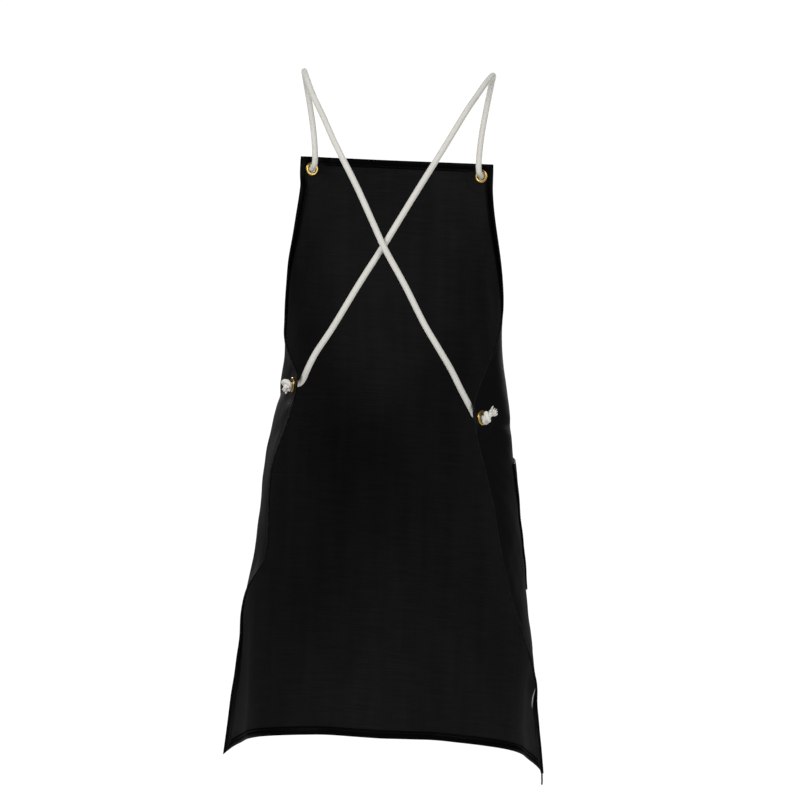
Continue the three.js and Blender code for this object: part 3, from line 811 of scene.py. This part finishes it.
EYELET_SECTION = eased(np.array([
    (BARREL, EYELET_BACK), (BARREL, 0.0002), (FLANGE - 0.0006, 0.0002), (FLANGE, 0.0003), (FLANGE, 0.0010),
    (FLANGE - 0.0009, 0.0019), (BORE + 0.0022, 0.0022), (BORE + 0.0008, 0.0020), (BORE, 0.0010),
    (BORE, EYELET_BACK - 0.0003), (BORE + 0.0003, EYELET_BACK - 0.0010),
    (BORE + 0.0012, EYELET_BACK - 0.0014), (FLANGE - 0.0013, EYELET_BACK - 0.0012),
    (FLANGE - 0.0007, EYELET_BACK - 0.0005), (FLANGE - 0.0010, EYELET_BACK),
]))
turn = 2 * np.pi * np.arange(EYELET_SEGMENTS) / EYELET_SEGMENTS
for seat in seats:
    radius, out = EYELET_SECTION[:, :1], EYELET_SECTION[:, 1:]
    ring = np.stack([radius * np.cos(turn), out + 0 * turn, radius * np.sin(turn)], axis=2)
    index = np.arange(ring.shape[0] * ring.shape[1]).reshape(ring.shape[:2])
    ahead, beside = np.roll(index, -1, axis=0), np.roll(index, -1, axis=1)
    faces = np.stack([index, beside, np.roll(ahead, -1, axis=1), ahead], axis=2).reshape(-1, 4)
    eyelet = add_piece("eyelet_ring_" + seat.name, seated(ring.reshape(-1, 3), seat), faces, [eyelet_brass])
    shape = bmesh.new()
    shape.from_mesh(eyelet.data)
    bmesh.ops.recalc_face_normals(shape, faces=shape.faces)
    shape.to_mesh(eyelet.data)
    shape.free()
    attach(eyelet, "root")
    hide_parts("eyelet_" + seat.name)


# The cords: soft cotton cord, knitted as a tube. Each goes out through a bib eyelet, over a shoulder, across
# the back and through the far waist eyelet, with a knot outside each eyelet. Where they cross, the left
# shoulder's cord lies over the other.
CORD_DIAMETER = 0.0086
CORD_SIDES, CORD_STEP = 48, 0.00058
WALES, KNIT_PITCH, KNIT_RELIEF = 8, 0.0030, 0.00042
CORD_ROUTES = {
    "left": (
        (-0.1241, 0.0837, -0.1278), (-0.1222, 0.0796, -0.1275), (-0.1192, 0.0731, -0.1227),
        (-0.1182, 0.0702, -0.1145), (-0.1190, 0.0690, -0.0970), (-0.1215, 0.0660, -0.0730),
        (-0.1255, 0.0590, -0.0470), (-0.1295, 0.0460, -0.0240), (-0.1325, 0.0240, -0.0060),
        (-0.1330, -0.0020, 0.0000), (-0.1280, -0.0260, -0.0140), (-0.1170, -0.0470, -0.0420),
        (-0.1010, -0.0690, -0.0750), (-0.0860, -0.0860, -0.1080), (-0.0520, -0.1110, -0.1740),
        (-0.0330, -0.1195, -0.2140), (-0.0140, -0.1260, -0.2540), (0.0150, -0.1215, -0.3040),
        (0.0440, -0.1125, -0.3580), (0.0630, -0.1035, -0.3880), (0.0808, -0.0905, -0.4160),
        (0.0970, -0.0720, -0.4455), (0.1122, -0.0540, -0.4715), (0.1168, -0.0512, -0.4790),
        (0.1229, -0.0534, -0.4824), (0.1273, -0.0562, -0.4826),
    ),
    "right": (
        (0.1243, 0.0837, -0.1330), (0.1224, 0.0796, -0.1324), (0.1194, 0.0731, -0.1279),
        (0.1184, 0.0702, -0.1196), (0.1190, 0.0690, -0.1010), (0.1215, 0.0660, -0.0750),
        (0.1255, 0.0590, -0.0480), (0.1295, 0.0460, -0.0240), (0.1325, 0.0240, -0.0060),
        (0.1330, -0.0020, 0.0000), (0.1220, -0.0270, -0.0150), (0.1080, -0.0470, -0.0380),
        (0.0960, -0.0640, -0.0580), (0.0655, -0.0890, -0.1130), (0.0270, -0.1090, -0.1800),
        (0.0075, -0.1135, -0.2140), (-0.0125, -0.1166, -0.2490), (-0.0445, -0.1125, -0.3010),
        (-0.0820, -0.0990, -0.3650), (-0.1045, -0.0850, -0.3995), (-0.1144, -0.0750, -0.4188),
        (-0.1216, -0.0647, -0.4345), (-0.1256, -0.0631, -0.4397), (-0.1314, -0.0634, -0.4418),
        (-0.1356, -0.0643, -0.4420),
    ),
}


def cotton_finish():
    """Undyed cotton: warm white yarn with painted shade down in the grooves of the knit, and a soft matt nap.
    """
    finish, shader, tone = new_finish("white_cotton", {
        "Specular IOR Level": 0.15, "Sheen Weight": 0.25, "Sheen Roughness": 0.6,
    })
    place = tone.node("TexCoord", output=3)
    groove = tone.node("Attribute", output=2, attribute_name="groove")
    lint = tone.node("TexNoise", {"Vector": place, "Scale": 1700, "Detail": 3, "Roughness": 0.7})
    handled = tone.node("TexNoise", {"Vector": place, "Scale": 34, "Detail": 3})
    yarn = handled.ramp(0.3, 0.75).mixed((0.86, 0.845, 0.80, 1), (0.80, 0.78, 0.725, 1))
    # Painted shade by groove depth, mixed with random lint tone, darkens the yarn.
    (groove * 0.8 + lint * 0.2).mixed(yarn, (0.60, 0.58, 0.53, 1)).feed(shader.inputs["Base Color"])
    (0.86 + lint * 0.12).feed(shader.inputs["Roughness"])
    bump = tone.node("Bump", {"Height": lint * 0.00012, "Strength": 0.6, "Distance": 1.0})
    bump.feed(shader.inputs["Normal"])
    return finish


white_cotton = cotton_finish()


def smooth_route(route, step):
    """A smooth curve through listed points, with its own points a step apart."""
    route = np.array(route, float)
    route = np.concatenate([[2 * route[0] - route[1]], route, [2 * route[-1] - route[-2]]])
    gaps = np.sqrt(np.linalg.norm(np.diff(route, axis=0), axis=1))
    t = np.linspace(0, 1, 60, endpoint=False)[:, None]
    line = []
    for i in range(1, len(route) - 2):
        (a, b, c, d), (before, span, after) = route[i - 1:i + 3], gaps[i - 1:i + 2]
        start = ((b - a) / before - (c - a) / (before + span) + (c - b) / span) * span
        end = ((c - b) / span - (d - b) / (span + after) + (d - c) / after) * span
        line.append(b + t * (start + t * (3 * (c - b) - 2 * start - end + t * (2 * (b - c) + start + end))))
    return respaced(np.concatenate([*line, route[-2:-1]]), step)


def lengths_along(line):
    return np.concatenate([[0], np.cumsum(np.linalg.norm(np.diff(line, axis=0), axis=1))])


def respaced(line, step=None, count=None):
    """A line with its points evenly spaced, by a step or a count."""
    along = lengths_along(line)
    at = np.linspace(0, along[-1], count or math.ceil(along[-1] / step) + 1)
    return np.stack([np.interp(at, along, line[:, axis]) for axis in range(3)], axis=1)


def knitted_tube(line, radius, squeeze=1.0):
    """Points, faces and groove depths of a knitted cord: wales of plump stitches, side by side."""
    tangent = np.gradient(line, axis=0)
    tangent /= np.linalg.norm(tangent, axis=1, keepdims=True)
    across = np.empty_like(line)
    across[0] = np.cross(tangent[0], np.eye(3)[np.abs(tangent[0]).argmin()])
    for i in range(1, len(line)):
        across[i] = across[i - 1] - tangent[i] * (across[i - 1] @ tangent[i])
    across /= np.linalg.norm(across, axis=1, keepdims=True)
    over = np.cross(tangent, across)
    along = lengths_along(line)[:, None]
    angle = 2 * np.pi * (np.arange(CORD_SIDES) + 0.5) / CORD_SIDES
    wale = WALES * angle / (2 * np.pi)
    side = np.abs(2 * (wale % 1) - 1)
    stitch = np.cos(2 * np.pi * (along / (KNIT_PITCH * squeeze) + 0.45 * side + 0.5 * (wale // 1 % 2)))
    groove = np.clip(0.75 * side**2.5 + 0.4 * (0.5 - 0.5 * stitch) * (1 - side**2), 0, 1)
    out = np.reshape(radius, (-1, 1)) - KNIT_RELIEF * groove
    ring = line[:, None] + (out * np.cos(angle))[..., None] * across[:, None]
    ring = ring + (out * np.sin(angle))[..., None] * over[:, None]
    return ring.reshape(-1, 3), tube_faces(len(line), CORD_SIDES), groove.ravel()


cords = {}
for shoulder, route in CORD_ROUTES.items():
    line = smooth_route(route, CORD_STEP)
    points, faces, groove = knitted_tube(line, CORD_DIAMETER / 2)
    cord = add_piece(f"cord_{shoulder}", points, faces, [white_cotton], {"groove": groove})
    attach(cord, "root")
    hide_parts(f"cord_{shoulder}_shoulder")
    cords[shoulder] = (cord, line)


# The knots: an overhand knot in each end of each cord, drawn up tight against its eyelet so that it can't
# pull through, which stretches its knit smooth. The cut end of its short tail has frayed into locks of yarn.
KNOT_STRAND, KNOT_POINTS, KNOT_ROUNDS = 0.0056, 96, 240
KNOT_FOOT, KNOT_NECK, KNOT_SINK = 0.0005, 0.004, 0.0020
NECK_RADIUS, EYELET_TOP = 0.003, 0.0022
DRAWN_RADIUS, NECK_TUBE, TAIL_FLARE = 0.55 * KNOT_STRAND, 0.94 * CORD_DIAMETER / 2, 0.0007
DRAWN_GROOVE, DRAWN_PITCH = 0.4, 0.9
FRAY_LOCKS, LOCK_FIBRES, FIBRE_RINGS = 10, 26, 6
FRAY_RADIUS, FIBRE_RADIUS, FIBRE_SPREAD, TIP_SPREAD, TIP_STAGGER = 0.0032, 0.00050, 0.0009, 0.00025, 0.0016
GOLDEN_ANGLE = math.pi * (3 - math.sqrt(5))
fray_random = np.random.default_rng(11)


def tie_knot(seat, tail_direction):
    """The line of an overhand knot about +Y, pulled tight until its turns lie against each other."""
    t = np.linspace(-1.86, 1.86, 400)
    wide, deep, tall = 2.6 * (t**3 - 3 * t), 0.46 * (t**5 - 10 * t), 2.3 * (t**4 - 4 * t**2 + 2)
    loop = np.stack([wide, deep, tall], axis=1) / 1000
    turn_cos, turn_sin = math.cos(math.radians(seat.turn)), math.sin(math.radians(seat.turn))
    middle = np.array([0, seat.stand, -KNOT_SINK])
    loop = middle + loop @ np.array([(turn_cos, 0, -turn_sin), (0, 1, 0), (turn_sin, 0, turn_cos)])
    end = middle + tail_direction * seat.reach
    neck = [(0, KNOT_FOOT - KNOT_NECK, 0), (0, KNOT_FOOT, 0)]
    line = respaced(np.concatenate([neck, loop, [end]]), count=KNOT_POINTS)
    apart = np.abs(np.subtract.outer(np.arange(KNOT_POINTS), np.arange(KNOT_POINTS)))
    for _ in range(KNOT_ROUNDS):
        pull = np.zeros_like(line)
        pull[1:-1] = (line[2:] + line[:-2]) / 2 - line[1:-1]
        line = line + 0.5 * pull
        step = np.linalg.norm(np.diff(line, axis=0), axis=1).mean()
        gap = line[:, None] - line[None, :]
        distance = np.linalg.norm(gap, axis=2) + 1e-9
        crowded = (apart * step > 1.7 * KNOT_STRAND) & (distance < KNOT_STRAND)
        push = np.where(crowded, (KNOT_STRAND - distance) / distance, 0)[..., None] * gap
        line = line + 0.30 * push.sum(axis=1) / np.maximum(crowded.sum(axis=1), 1)[:, None]
        off_axis = np.hypot(line[:, 0], line[:, 2])
        lowest = np.where(off_axis > NECK_RADIUS, EYELET_TOP + 0.45 * KNOT_STRAND, -1)
        line[:, 1] = np.maximum(line[:, 1], lowest)
        line[:2], line[-1] = neck, end
        line = respaced(line, count=KNOT_POINTS)
    return line


def fray(end, direction, longest):
    """Locks of yarn at a cord's cut end: fibres that spread from the tail and draw together in points."""
    side = np.cross(direction, np.eye(3)[np.abs(direction).argmin()])
    side /= np.linalg.norm(side)
    other = np.cross(direction, side)
    points, faces = [], []
    square = np.array([(1, 0), (0, 1), (-1, 0), (0, -1)])
    for lock in range(FRAY_LOCKS):
        angle = GOLDEN_ANGLE * lock + fray_random.uniform(-0.3, 0.3)
        from_middle = math.sqrt((lock + 0.5) / FRAY_LOCKS)
        out = math.cos(angle) * side + math.sin(angle) * other
        length = longest * fray_random.uniform(0.45, 1)
        root = end + out * FRAY_RADIUS * from_middle
        tip = root + direction * length + out * length * from_middle * fray_random.uniform(0.3, 0.8)
        for _ in range(LOCK_FIBRES):
            spread = fray_random.normal(0, FIBRE_SPREAD, 3)
            stop = tip + fray_random.normal(0, TIP_SPREAD, 3)
            stop = stop - direction * fray_random.uniform(0, TIP_STAGGER)
            start = root + spread - direction * 0.001
            belly = (root + stop) / 2 + spread * 0.9 + out * 0.0004
            t = np.linspace(0, 1, FIBRE_RINGS)[:, None]
            line = (1 - t) ** 2 * start + 2 * t * (1 - t) * belly + t**2 * stop
            thick = FIBRE_RADIUS * (1 - 0.75 * t**2)
            ring = line[:, None] + thick[..., None] * (square[:, :1] * side + square[:, 1:] * other)
            faces += tube_faces(FIBRE_RINGS, len(square), len(points) * FIBRE_RINGS * len(square))
            points.append(ring.reshape(-1, 3))
    return np.concatenate(points), faces


for seat in seats:
    tail, lean = math.radians(seat.tail), math.radians(seat.lean)
    away = np.array([math.sin(lean) * math.sin(tail), math.cos(lean), math.sin(lean) * math.cos(tail)])
    line = respaced(tie_knot(seat, away), step=CORD_STEP)
    share = np.linspace(0, 1, len(line))
    radius = NECK_TUBE + (DRAWN_RADIUS - NECK_TUBE) * smoothstep(share, 0.03, 0.12)
    radius = radius + TAIL_FLARE * smoothstep(share, 0.86, 1.0)
    points, faces, groove = knitted_tube(line, radius, squeeze=DRAWN_PITCH)
    fibre_points, fibre_faces = fray(line[-1], away, seat.frayed)
    faces = faces + [[corner + len(points) for corner in face] for face in fibre_faces]
    groove = np.concatenate([DRAWN_GROOVE * groove, np.zeros(len(fibre_points))])
    points = seated(np.concatenate([points, fibre_points]), seat)
    knot = add_piece("tied_knot_" + seat.name, points, faces, [white_cotton], {"groove": groove})
    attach(knot, "root")
    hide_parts("knot_" + seat.name)

for shoulder, far_side in (("left", "right"), ("right", "left")):
    cord, line = cords[shoulder]
